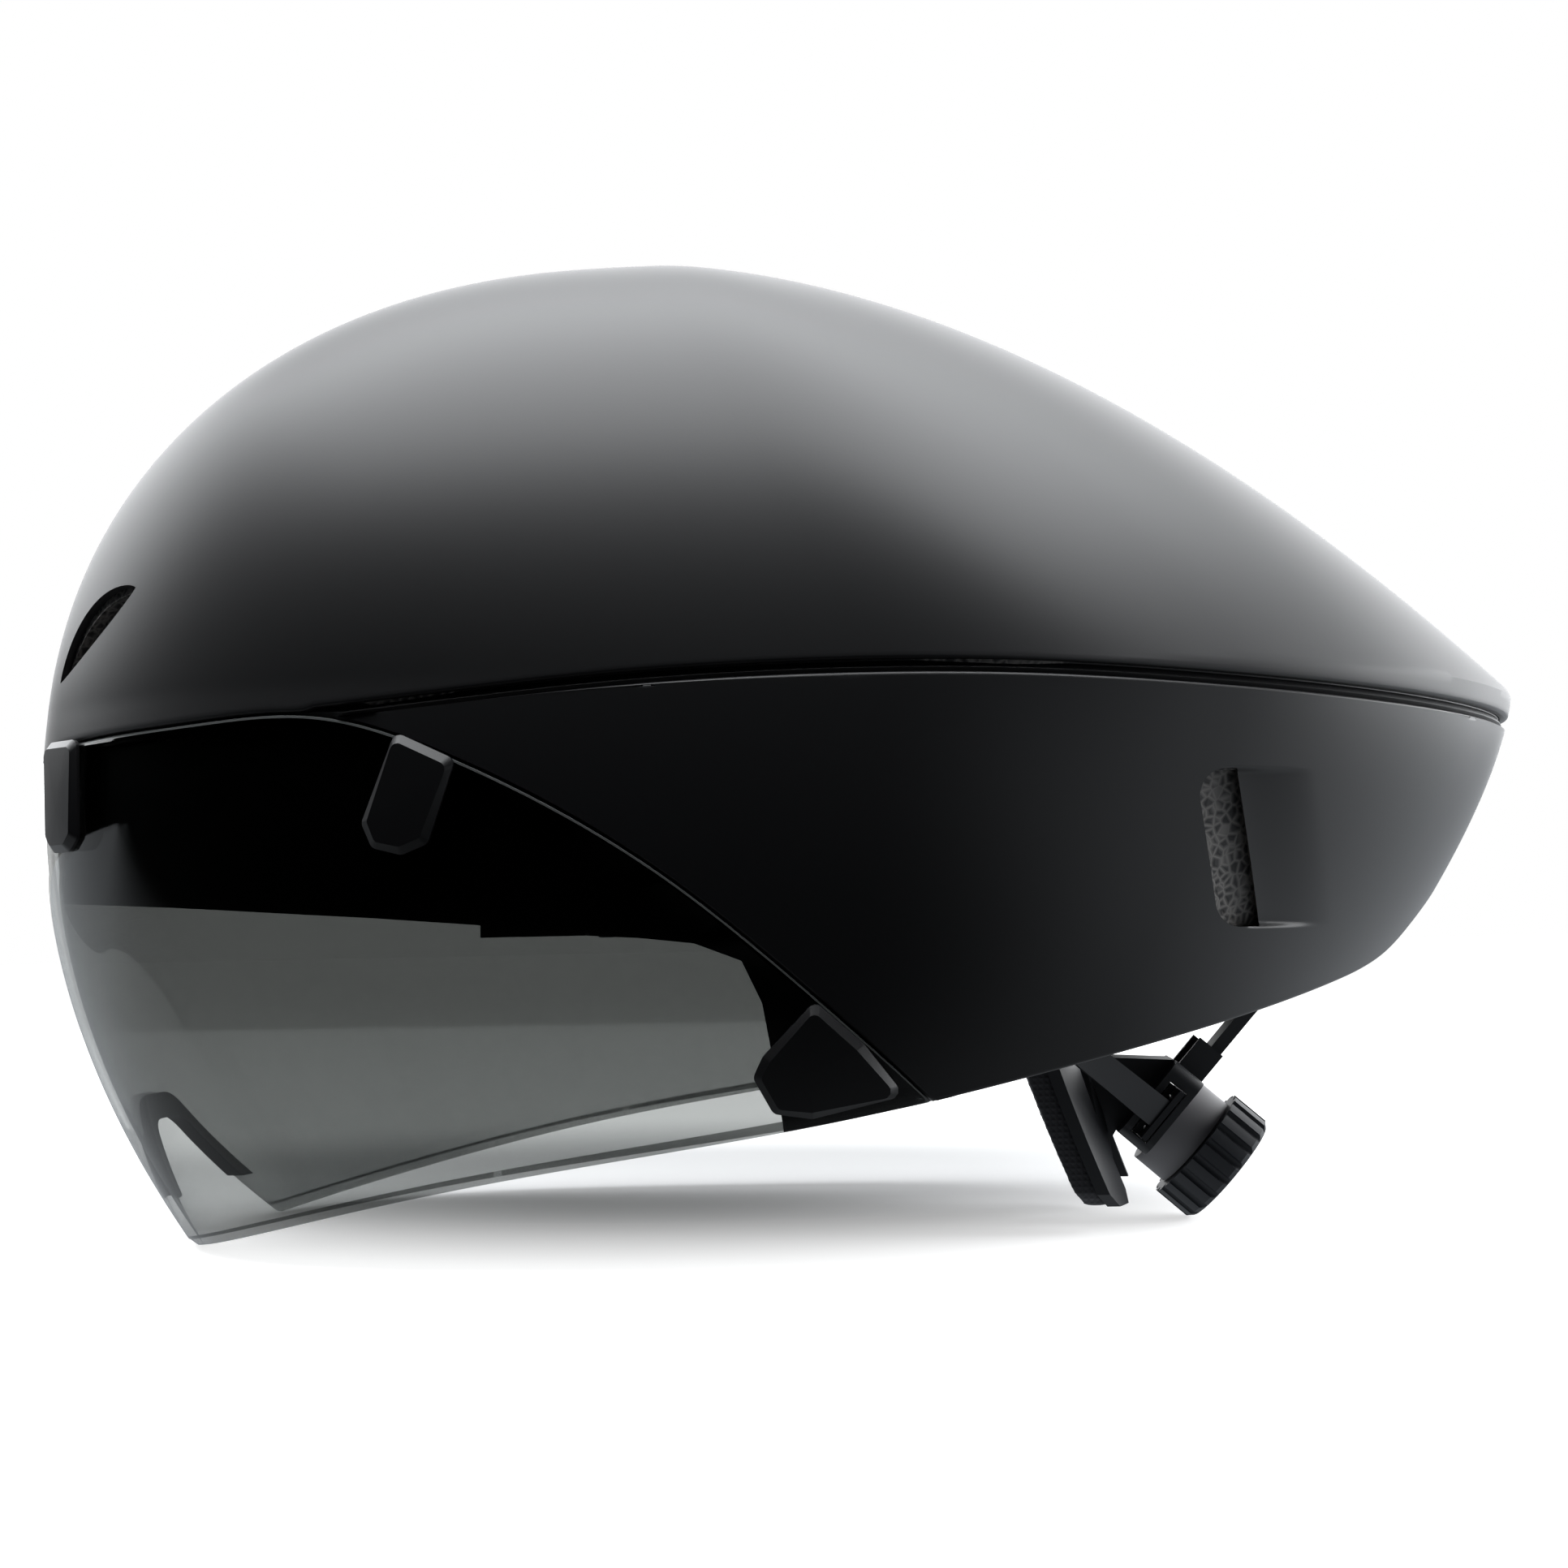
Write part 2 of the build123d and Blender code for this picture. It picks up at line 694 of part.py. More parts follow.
# Dial, its grip, shaft and cap
def make_dial():
    core_r = dial_d / 2 - grip_t
    core = Pos(0, 0, dial_t / 2) * Cylinder(core_r, dial_t)
    core = fillet(core.edges().sort_by(Axis.Z)[-1], dial_dome)
    core = core - Pos(0, 0, dial_t) * Cylinder(cap_d / 2 + shaft_fit, 2 * cap_t)
    core = core - Cylinder(shaft_d / 2, 4 * dial_t)
    save("dial_knob", dial_frame * core)
    ring = Pos(0, 0, dial_t / 2) * Cylinder(dial_d / 2, dial_t)
    ring = chamfer(ring.edges().sort_by(Axis.Z)[-1], dial_edge)
    ring = ring - Cylinder(core_r, 4 * dial_t)
    notch = Cylinder(knurl_d / 2, 4 * dial_t)
    for step in range(knurl_count):
        turn = 360 / knurl_count * (step + 1 / 2)
        ring = ring - Rot(0, 0, turn) * Pos(-dial_d / 2, 0, 0) * notch
    save("dial_grip", dial_frame * ring)
    shaft_low = -base_t - housing_t + housing_wall + shaft_fit
    shaft = Pos(0, 0, shaft_low) * Cylinder(shaft_d / 2, dial_t - cap_t - shaft_low, align=low_align)
    wheel_t = housing_t - 2 * housing_wall - 2 * shaft_fit
    wheel = Cylinder(pinion_d / 2, wheel_t, align=low_align)
    gap = Cylinder(tooth_h * tooth_gap_share, 4 * wheel_t)
    for step in range(pinion_teeth):
        turn = 360 / pinion_teeth * step
        wheel = wheel - Rot(0, 0, turn) * Pos(pinion_d / 2, 0, 0) * gap
    save("dial_pinion", dial_frame * (shaft + Pos(0, 0, shaft_low) * wheel))
    cap = Pos(0, 0, dial_t - cap_t) * Cylinder(cap_d / 2, cap_t, align=low_align)
    save("dial_cap", dial_frame * cap)


# Housing of the two racks, with the round base that carries the dial
def make_housing():
    base = Pos(0, 0, -dial_gap) * Cylinder(base_d / 2, base_t - dial_gap, align=high_align)
    base = base - Cylinder(shaft_d / 2 + shaft_fit, 4 * base_t)
    save("dial_base", dial_frame * base)
    low = -base_t - housing_t
    box = Pos(housing_rise, 0, -base_t) * Box(housing_h, housing_w, housing_t, align=high_align)
    box = fillet(box.edges().filter_by(Axis.Z), housing_r)
    tunnel = Box(rack_w + 2 * shaft_fit, 2 * housing_w, housing_t - 2 * housing_wall)
    box = box - Pos(0, 0, low + housing_t / 2) * tunnel
    box = box - Pos(0, 0, -base_t) * Cylinder(shaft_d / 2 + shaft_fit, 4 * housing_wall)
    ear = Box(ear_h + housing_r, ear_t, ear_l, align=(Align.MIN, Align.CENTER, Align.MAX))
    top = housing_rise + housing_h / 2 - housing_r
    for side in (-1, 1):
        reach = side * (mast_w / 2 + ear_gap + ear_t / 2)
        box = box + Pos(top, reach, -base_t) * ear
    save("rack_housing", dial_frame * box)


# Toothed slotted end of a belt, inside the housing
def rack_end(side):
    middle = -base_t - housing_t / 2
    z = middle + side * (rack_gap + rack_t) / 2
    start = -side * rack_inner
    end = side * rack_outer
    plate = Pos(0, (start + end) / 2, z) * Box(rack_w, rack_inner + rack_outer, rack_t)
    slot_w = pinion_d + 2 * shaft_fit
    slot = Box(slot_w, 2 * rack_inner - 2 * housing_wall, 4 * rack_t)
    plate = plate - Pos(0, 0, z) * slot
    cut = Box(2 * rack_tooth_h, rack_pitch / 2, 4 * rack_t)
    for step in range(rack_teeth):
        place = (step - (rack_teeth - 1) / 2) * rack_pitch
        plate = plate - Pos(side * slot_w / 2, place, z) * cut
    return plate


def make_belt(name, side):
    layer = head_wall(belt_off) - head_wall(belt_off + belt_t)
    half = belt_w / 2
    outline = [(belt_front_x, belt_front_z - half), (belt_front_x, belt_front_z + half)]
    outline += [(belt_bend_x, belt_bend_z + half), (belt_rear_x, belt_rear_z + half)]
    outline += [(belt_rear_x, belt_rear_z - half), (belt_bend_x, belt_bend_z - half)]
    both = layer & side_slab(outline)
    wall = halves(both)[0 if side < 0 else 1]
    x = belt_rear_x - belt_t
    z = belt_rear_z + (belt_bend_z - belt_rear_z) * belt_t / (belt_rear_x - belt_bend_x)
    y = head_y(x, belt_off + belt_t / 2)
    slope = (head_y(x + near_step, belt_off) - head_y(x - near_step, belt_off)) / (2 * near_step)
    along = Vector(1, side * slope, 0).normalized()
    end = Plane(origin=(x, side * y, z), x_dir=Vector(0, 0, 1), z_dir=along)
    local = -side
    rack = rack_end(local)
    height = -base_t - housing_t / 2 + local * (rack_gap + rack_t) / 2
    start = dial_frame * Pos(0, local * (rack_outer - belt_t), height)
    first = Plane(start) if not isinstance(start, Plane) else start
    mouth = Plane(origin=first.origin, x_dir=dial_up, z_dir=Vector(0, -side, 0))
    twist = loft([end * Rectangle(belt_w, belt_t), mouth * Rectangle(belt_w, belt_t)], ruled=True)
    save(name, wall + twist + dial_frame * rack)


def make_temple_guides():
    guides = []
    for side in (-1, 1):
        x = belt_front_x + temple_in
        z = belt_front_z
        plane = wall_plane(x, z, side, plate_lift + temple_t / 2)
        plate = Box(temple_l, temple_h, temple_t)
        guides.append(plane * plate)
    save("temple_guides", Compound(children=guides))


# Cradle plate bent round the back of the head
def cradle_band(back, front):
    rows = [(cradle_top_x, cradle_top_z), (cradle_mid_x, cradle_mid_z), (cradle_foot_x, cradle_foot_z)]
    rear = [(x + back, z) for x, z in rows]
    fore = [(x + front, z) for x, z in rows]
    outline = [ThreePointArc(*rear), Line(rear[2], fore[2]), ThreePointArc(*fore), Line(fore[0], rear[0])]
    face = Plane.XZ * make_face(outline)
    spin = Axis((cradle_axis_x, 0, 0), (0, 0, 1))
    face = face.rotate(spin, -cradle_turn)
    return revolve(face, spin, 2 * cradle_turn)


def front_slab(outline):
    face = Plane.YZ * make_face(Polyline(*outline, close=True))
    return extrude(face, amount=shell_length)


def arm_outline(inset):
    far = cradle_half_w - inset
    near = arm_in + inset
    low = cradle_foot_z + inset - cradle_t
    rise = arm_round - inset
    top = cradle_top_z + cradle_t - inset
    side = [(near, top), (far, top), (far, low + rise)]
    return side + [(far - rise, low), (near + rise, low), (near, low + rise)]


def mirrored(outline):
    return [(-y, z) for y, z in outline]


def rectangle(half, low, high):
    return [(-half, high), (half, high), (half, low), (-half, low)]


def make_cradle():
    plate = cradle_band(cradle_t, 0)
    keep = front_slab(arm_outline(0)) + front_slab(mirrored(arm_outline(0)))
    top = cradle_top_z
    keep = keep + front_slab(rectangle(cradle_half_w, top - cross_h, top))
    low = cradle_foot_z + web_w
    high = web_top_z
    reach = arm_in + web_lap
    web = [(reach, low), (reach, low + web_w), (0, high + web_w)]
    web += [(-reach, low + web_w), (-reach, low), (0, high - web_w)]
    keep = keep + front_slab(web) + front_slab(rectangle(stem_half_w, bridge_low_z, top))
    cradle = plate & keep
    corner = dial_frame.from_local_coords(Vector(housing_rise + housing_h / 2, 0, -base_t - housing_t))
    foot = dial_frame.from_local_coords(Vector(housing_rise - housing_h / 2, 0, -base_t - housing_t))
    outline = [(cradle_mid_x, cradle_mid_z), (corner.X, corner.Z), (foot.X, foot.Z)]
    outline += [(cradle_mid_x + cradle_t, bridge_low_z)]
    face = Plane.XZ * make_face(Polyline(*outline, close=True))
    bridge = extrude(face, amount=stem_half_w, both=True)
    save("fit_cradle", cradle + bridge)
    pad = cradle_band(-foam_gap, -foam_gap - nape_pad_t)
    left = pad & front_slab(mirrored(arm_outline(nape_pad_in)))
    right = pad & front_slab(arm_outline(nape_pad_in))
    save("nape_pad_left", left)
    save("nape_pad_right", right)


# Mast between the cradle and the liner, and the socket that it slides in
def make_mast():
    length = mast_high - mast_low
    mast = Box(length, mast_w, mast_t)
    mast = fillet(mast.edges().filter_by(Axis.Z), mast_t / 2)
    mast = Pos((mast_high + mast_low) / 2, 0, -mast_back) * mast
    for step in range(mast_notches):
        for side in (-1, 1):
            place = mast_high - (step + 1) * mast_notch_pitch
            mast = mast - Pos(place, side * mast_w / 2, -mast_back) * Cylinder(mast_notch_d / 2, 2 * mast_t)
    save("height_mast", dial_frame * mast)
    hole = Box(2 * socket_high, mast_w + 2 * socket_fit, mast_t + 2 * socket_fit)
    block = socket_block(0) - Pos(socket_high - socket_wall, 0, -mast_back) * Pos(-socket_high, 0, 0) * hole
    save("mast_socket", dial_frame * block)


make_upper_shell()
make_lower_shell()
make_foam()
make_lens()
make_trim()
make_tabs()
make_pads()
make_straps()
make_buckle()
make_anchors()
make_dial()
make_housing()
make_belt("belt_left", -1)
make_belt("belt_right", 1)
make_temple_guides()
make_cradle()
make_mast()
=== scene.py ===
import bmesh
import bpy
import json
import math
import numpy as np
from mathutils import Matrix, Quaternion, Vector


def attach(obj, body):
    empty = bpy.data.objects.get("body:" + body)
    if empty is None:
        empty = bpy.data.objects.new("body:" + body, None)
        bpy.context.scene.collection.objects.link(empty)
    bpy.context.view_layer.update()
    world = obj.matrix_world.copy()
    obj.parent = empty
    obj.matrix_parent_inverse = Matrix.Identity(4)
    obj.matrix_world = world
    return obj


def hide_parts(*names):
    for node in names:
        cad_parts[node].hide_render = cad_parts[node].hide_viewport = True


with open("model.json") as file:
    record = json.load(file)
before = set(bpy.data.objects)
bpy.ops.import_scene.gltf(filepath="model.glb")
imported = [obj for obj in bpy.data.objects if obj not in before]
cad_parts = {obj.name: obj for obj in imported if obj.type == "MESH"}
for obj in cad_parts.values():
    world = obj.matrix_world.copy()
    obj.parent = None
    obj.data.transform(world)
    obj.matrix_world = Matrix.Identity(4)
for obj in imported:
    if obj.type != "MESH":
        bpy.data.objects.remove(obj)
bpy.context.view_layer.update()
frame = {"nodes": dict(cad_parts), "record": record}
nodes = frame["nodes"]
scene = bpy.context.scene
mm = 0.001

# Driving sizes of the body, in millimetres, the same as the solids have
shell_length = 307.5
shell_height = 202.0
half_width = 104.0
front_x = -153.5
shell_t = 1.6
crown_share = 0.418
nose_share = 0.44
belt_share = 0.53
wide_share = 0.58
chin_share = 0.098
tail_under_share = 0.23
tuck_share = 0.21
front_power = 2.6
rear_power = 1.8
brow_power = 2.2
crown_power = 2.15
tail_power = 1.84
chin_power = 2.05
under_power = 1.44
tuck_power = 1.8
blend_share = 0.5
groove_w = 2.2
lens_t = 2.0
lens_gap = 0.6
notch_half_w = 30.0
notch_h = 24.5
notch_r = 9.0
tab_t = 1.7
tab_lift = 0.3
parting_shares = [(-0.05, 0.508), (0.25, 0.510), (0.42, 0.528), (0.59, 0.5335)]
parting_shares += [(0.775, 0.523), (0.955, 0.508), (1.05, 0.500)]
bottom_shares = [(0.109, 0.0), (0.32, 0.0755), (0.539, 0.131), (0.71, 0.185), (0.86, 0.2445), (0.886, 0.259)]
bottom_shares += [(0.904, 0.275), (0.918, 0.294), (0.935, 0.320), (0.96, 0.355), (1.05, 0.45)]
lens_top_shares = [(-0.05, 0.486), (0.0, 0.489), (0.072, 0.4955), (0.17, 0.502), (0.254, 0.500)]
lens_top_shares += [(0.334, 0.458), (0.465, 0.340), (0.539, 0.244), (0.60, 0.155), (0.64, 0.09)]
front_tab_shares = [(0.042, 0.501), (0.075, 0.499), (0.075, 0.405), (0.067, 0.393), (0.049, 0.393)]
front_tab_shares += [(0.042, 0.405)]
side_tab_shares = [(0.300, 0.484), (0.336, 0.458), (0.318, 0.385), (0.302, 0.376), (0.284, 0.383)]
side_tab_shares += [(0.278, 0.405)]
rear_tab_shares = [(0.539, 0.242), (0.566, 0.204), (0.588, 0.158), (0.535, 0.139), (0.513, 0.144)]
rear_tab_shares += [(0.502, 0.176), (0.508, 0.194)]
front_vent_tip_shares = (0.119, 0.638)
front_vent_foot_shares = (0.048, 0.560)
front_vent_w = 9.0
slot_outline = [(88.2, 88.6), (93.1, 60.2), (84.9, 60.2), (80.2, 88.6)]
slot_radii = [0.4, 0.4, 5.0, 5.0]
scoop_deep = 1.5
scoop_l = 15.0
split_share = 0.236
split_blend_share = 0.012

# Steps of the searches for edges, and the distance in metres at which points are welded
solve_rounds = 60
solve_step = 0.7
search_steps = 2000
weld = 0.00002

# Rows and points of the meshes
dome_points = 420
dome_rows = 110
dome_inner_rows = 40
skin_points = 620
skin_rows = 90
lens_points = 700
lens_rows = 70
leaf_sides = 48
patch_points = 24

# Finer sizes that only the picture needs: lengths in millimetres, the rest as shares
crown_gap = 0.03
scoop_lead = 3.0
scoop_soft = 1.4
scoop_over = 0.4
guide_start_x = 40.0
guide_full_l = 30.0
guide_end_x = 106.0
guide_fade_l = 18.0
slot_step = 0.0166 / 4
leaf_reach = 12.0
leaf_outer = 0.7
leaf_inner = 0.3
leaf_power = 0.8
under_rise = 4.5
under_depth = 0.9
# Sizes of the dark strip that stands in as painted shade in the groove between the shells
groove_shade_inset = 1.0
groove_shade_t = 1.85
groove_shade_drop = 0.6
groove_shade_over = 0.1
groove_shade_reach = 1.12
ledge_inset = 2.1
ledge_t = 2.55
ledge_drop = 1.2
ledge_rise = 0.4
edge_w = 0.45
edge_t = 0.5
edge_proud = 0.03
tip_clear = 0.5
tab_r = 1.6
tab_bevel = 1.5
patch_t = 2.0
patch_inset = 3.6


def place(share):
    return (front_x + share[0] * shell_length, share[1] * shell_height)


# A smooth curve through points given as shares of the body: height as a function of x
def curve(shares):
    xs, zs = np.array([place(share) for share in shares]).T
    n = len(xs)
    step = np.diff(xs)
    matrix = np.eye(n)
    right = np.zeros(n)
    for i in range(1, n - 1):
        matrix[i, i - 1:i + 2] = (step[i - 1], 2 * (step[i - 1] + step[i]), step[i])
        right[i] = 6 * ((zs[i + 1] - zs[i]) / step[i] - (zs[i] - zs[i - 1]) / step[i - 1])
    bend = np.linalg.solve(matrix, right)

    def height(x):
        x = np.clip(x, xs[0], xs[-1])
        i = np.clip(np.searchsorted(xs, x) - 1, 0, n - 2)
        a = (xs[i + 1] - x) / step[i]
        b = 1 - a
        arc = ((a ** 3 - a) * bend[i] + (b ** 3 - b) * bend[i + 1]) * step[i] ** 2 / 6
        return a * zs[i] + b * zs[i + 1] + arc
    return height


parting = curve(parting_shares)
bottom = curve(bottom_shares)
lens_top = curve(lens_top_shares)


def smooth(value):
    value = np.clip(value, 0, 1)
    return value * value * (3 - 2 * value)


def plan_share(share):
    blend = smooth((share + blend_share) / (2 * blend_share))
    power = front_power + (rear_power - front_power) * blend
    return np.maximum(0, 1 - np.abs(share) ** power) ** (1 / power)


def body_size(z, inset):
    front = front_x + inset
    rear = front_x + shell_length - inset
    top = shell_height - inset
    half = half_width - inset
    crown = front_x + crown_share * shell_length
    nose = nose_share * shell_height
    belt = belt_share * shell_height
    rise = np.clip((z - nose) / (top - nose), 0, 1)
    fall = np.clip((nose - z) / nose, 0, 2)
    x_front = crown - (crown - front) * (1 - rise ** brow_power) ** (1 / brow_power)
    x_front = np.where(z > nose, x_front, front + chin_share * shell_length * fall ** chin_power)
    rise = np.clip((z - belt) / (top - belt), 0, 1)
    drop = np.clip((belt - z) / belt, 0, 2)
    x_rear = crown + (rear - crown) * (1 - rise) ** (1 / tail_power)
    x_rear = np.where(z > belt, x_rear, rear - tail_under_share * shell_length * drop ** under_power)
    wide = half * (1 - rise ** crown_power) ** (1 / crown_power)
    wide = np.where(z > belt, wide, half - tuck_share * half_width * drop ** tuck_power)
    return x_front, x_rear, wide


def ring_place(angle, z, inset):
    x_front, x_rear, half = body_size(z, inset)
    x_wide = x_front + wide_share * (x_rear - x_front)
    along = np.cos(angle)
    power = np.where(along > 0, rear_power, front_power)
    reach = np.where(along > 0, x_rear - x_wide, x_wide - x_front)
    share = np.sign(along) * np.abs(along) ** (2 / power)
    return x_wide + reach * share, np.sign(np.sin(angle)) * half * plan_share(share)


def body_y(x, z, inset=0.0):
    x_front, x_rear, half = body_size(z, inset)
    x_wide = x_front + wide_share * (x_rear - x_front)
    reach = np.where(x > x_wide, x_rear - x_wide, x_wide - x_front)
    return half * plan_share((x - x_wide) / reach)


def skin_frame(x, z, side):
    y = float(body_y(x, z))
    slope_x = float(body_y(x + 1, z) - body_y(x - 1, z)) / 2
    slope_z = float(body_y(x, z + 1) - body_y(x, z - 1)) / 2
    out = Vector((-slope_x, side, -slope_z)).normalized()
    return Vector((x, side * y, z)), out


# Mesh from a grid of points, rows by columns, with flat caps where asked
def grid_object(name, grid, wrap, loop_rows, caps=False):
    rows, cols = grid.shape[:2]
    points = [tuple(point) for point in (grid * mm).reshape(-1, 3)]
    faces = []
    last_row = rows if loop_rows else rows - 1
    last_col = cols if wrap else cols - 1
    for i in range(last_row):
        for j in range(last_col):
            k, l = (i + 1) % rows, (j + 1) % cols
            faces.append((i * cols + j, i * cols + l, k * cols + l, k * cols + j))
    if caps:
        faces.append(tuple(range(cols)))
        faces.append(tuple((rows - 1) * cols + j for j in range(cols)))
    return mesh_object(name, points, faces)


def mesh_object(name, points, faces):
    mesh = bpy.data.meshes.new(name)
    mesh.from_pydata(points, [], faces)
    obj = bpy.data.objects.new(name, mesh)
    scene.collection.objects.link(obj)
    work = bmesh.new()
    work.from_mesh(mesh)
    bmesh.ops.remove_doubles(work, verts=work.verts, dist=weld)
    bmesh.ops.recalc_face_normals(work, faces=work.faces)
    work.to_mesh(mesh)
    work.free()
    shade(obj, 40)
    return obj


def shade(obj, sharp):
    mesh = obj.data
    mesh.polygons.foreach_set("use_smooth", [True] * len(mesh.polygons))
    mesh.set_sharp_from_angle(angle=math.radians(sharp))


# Points of a skin between two height curves, solved for the true place of each edge
def skin_row(angles, share, shift, inset, low_of, high_of, scoop=None, level=None):
    z = np.full(len(angles), 0.5 * shell_height)
    for _ in range(solve_rounds):
        x, y = ring_place(angles, z, 0)
        bottom_z, top_z = low_of(x, y), high_of(x, y)
        top_z = np.maximum(top_z, bottom_z)
        room = np.minimum(abs(shift), (top_z - bottom_z) / 2)
        want = level(x, share, bottom_z, top_z) if level else bottom_z + share * (top_z - bottom_z)
        z = z + solve_step * (want + math.copysign(1, shift) * room - z)
    depth = inset + (scoop(x, z) if scoop else 0)
    x, y = ring_place(angles, z, depth)
    return np.stack([x, y, z], axis=1)


def skin_shell(name, angles, wrap, low_of, high_of, thick, lips, rows, scoop=None, level=None, extra=()):
    low_lip, high_lip = lips
    steps = sorted([i / rows for i in range(1, rows)] + list(extra))
    spec = [(0, shift, inset, True) for shift, inset in low_lip]
    spec += [(step, 0, 0, True) for step in steps]
    spec += [(1, -shift, inset, True) for shift, inset in reversed(high_lip)]
    spec += [(step, 0, thick, False) for step in [1] + steps[::-1] + [0]]
    grid = []
    for share, shift, inset, outer in spec:
        carve = scoop if outer else None
        grid.append(skin_row(angles, share, shift, inset, low_of, high_of, carve, level))
    return grid_object(name, np.array(grid), wrap, True)


def round_lip(radius, steps=4):
    lip = []
    for step in range(steps + 1):
        turn = math.pi / 2 * step / steps
        lip.append((radius * (1 - math.cos(turn)), radius * (1 - math.sin(turn))))
    return lip


# Closed body between two rings of points, in metres
def tool_object(name, rings):
    n = len(rings[0])
    points = [tuple(p) for ring in rings for p in ring]
    faces = [tuple(range(n)), tuple(range(n, 2 * n))]
    faces += [(i, (i + 1) % n, n + (i + 1) % n, n + i) for i in range(n)]
    return mesh_object(name, points, faces)


# Boolean cut of one object by another, applied at once
def cut(obj, tool):
    mod = obj.modifiers.new("cut", "BOOLEAN")
    mod.operation = "DIFFERENCE"
    mod.solver = "EXACT"
    mod.object = tool
    bpy.context.view_layer.update()
    result = bpy.data.meshes.new_from_object(obj.evaluated_get(bpy.context.evaluated_depsgraph_get()))
    obj.modifiers.remove(mod)
    obj.data = result
    shade(obj, 35)
    bpy.data.objects.remove(tool)


def dress(obj, body, slot_name, *replaced):
    obj.data.materials.clear()
    obj.data.materials.append(looks[slot_name])
    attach(obj, body)
    if replaced:
        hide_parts(*replaced)
    return obj


# Camera, on the helmet's left side and a little below its middle
eye = Vector((0.0380, -0.5308, 0.0594))
aim = Vector((0.0008, 0.0, 0.0930))
roll = math.radians(-1.153)
cam = bpy.data.cameras.new("camera")
cam.lens = 56.85
cam.sensor_width = 36.0
cam.clip_start = 0.01
cam_obj = bpy.data.objects.new("camera", cam)
scene.collection.objects.link(cam_obj)
cam_obj.location = eye
cam_obj.rotation_mode = "QUATERNION"
cam_obj.rotation_quaternion = (aim - eye).to_track_quat("-Z", "Y") @ Quaternion((0, 0, 1), roll)
scene.camera = cam_obj
scene.view_settings.view_transform = "Standard"


# Materials
def new_material(name):
    mat = bpy.data.materials.new(name)
    mat.use_nodes = True
    tree = mat.node_tree
    return mat, tree, tree.nodes["Principled BSDF"]


def noise_bump(tree, bsdf, scale, strength, distance):
    coord = tree.nodes.new("ShaderNodeTexCoord")
    noise = tree.nodes.new("ShaderNodeTexNoise")
    noise.inputs["Scale"].default_value = scale
    noise.inputs["Detail"].default_value = 3.0
    bump = tree.nodes.new("ShaderNodeBump")
    bump.inputs["Strength"].default_value = strength
    bump.inputs["Distance"].default_value = distance
    tree.links.new(coord.outputs["Object"], noise.inputs["Vector"])
    tree.links.new(noise.outputs["Fac"], bump.inputs["Height"])
    tree.links.new(bump.outputs["Normal"], bsdf.inputs["Normal"])


def plastic(name, colour, rough):
    mat, tree, bsdf = new_material(name)
    bsdf.inputs["Base Color"].default_value = (*colour, 1)
    bsdf.inputs["Roughness"].default_value = rough
    noise_bump(tree, bsdf, 2500.0, 0.15, 0.00005)
    return mat


def beads(name):
    mat, tree, bsdf = new_material(name)
    coord = tree.nodes.new("ShaderNodeTexCoord")
    cells = tree.nodes.new("ShaderNodeTexVoronoi")
    cells.feature = "DISTANCE_TO_EDGE"
    cells.inputs["Scale"].default_value = 560.0
    ramp = tree.nodes.new("ShaderNodeValToRGB")
    ramp.color_ramp.elements[0].position = 0.0
    ramp.color_ramp.elements[0].color = (0.22, 0.21, 0.20, 1)
    ramp.color_ramp.elements[1].position = 0.26
    ramp.color_ramp.elements[1].color = (0.030, 0.029, 0.030, 1)
    bump = tree.nodes.new("ShaderNodeBump")
    bump.inputs["Strength"].default_value = 0.7
    bump.inputs["Distance"].default_value = 0.0004
    tree.links.new(coord.outputs["Object"], cells.inputs["Vector"])
    tree.links.new(cells.outputs["Distance"], ramp.inputs["Fac"])
    tree.links.new(ramp.outputs["Color"], bsdf.inputs["Base Color"])
    tree.links.new(cells.outputs["Distance"], bump.inputs["Height"])
    tree.links.new(bump.outputs["Normal"], bsdf.inputs["Normal"])
    bsdf.inputs["Roughness"].default_value = 0.6
    return mat


def smoke_glass(name, tint):
    mat, tree, bsdf = new_material(name)
    tree.nodes.remove(bsdf)
    out = tree.nodes["Material Output"]
    clear = tree.nodes.new("ShaderNodeBsdfTransparent")
    clear.inputs["Color"].default_value = (*tint, 1)
    gloss = tree.nodes.new("ShaderNodeBsdfGlossy")
    gloss.inputs["Roughness"].default_value = 0.03
    facing = tree.nodes.new("ShaderNodeLayerWeight")
    facing.inputs["Blend"].default_value = 0.5
    steep = tree.nodes.new("ShaderNodeMath")
    steep.operation = "POWER"
    steep.inputs[1].default_value = 4.0
    share = tree.nodes.new("ShaderNodeMapRange")
    share.inputs["To Min"].default_value = 0.035
    share.inputs["To Max"].default_value = 1.0
    mix = tree.nodes.new("ShaderNodeMixShader")
    tree.links.new(facing.outputs["Facing"], steep.inputs[0])
    tree.links.new(steep.outputs["Value"], share.inputs["Value"])
    tree.links.new(share.outputs["Result"], mix.inputs["Fac"])
    tree.links.new(clear.outputs["BSDF"], mix.inputs[1])
    tree.links.new(gloss.outputs["BSDF"], mix.inputs[2])
    tree.links.new(mix.outputs["Shader"], out.inputs["Surface"])
    return mat


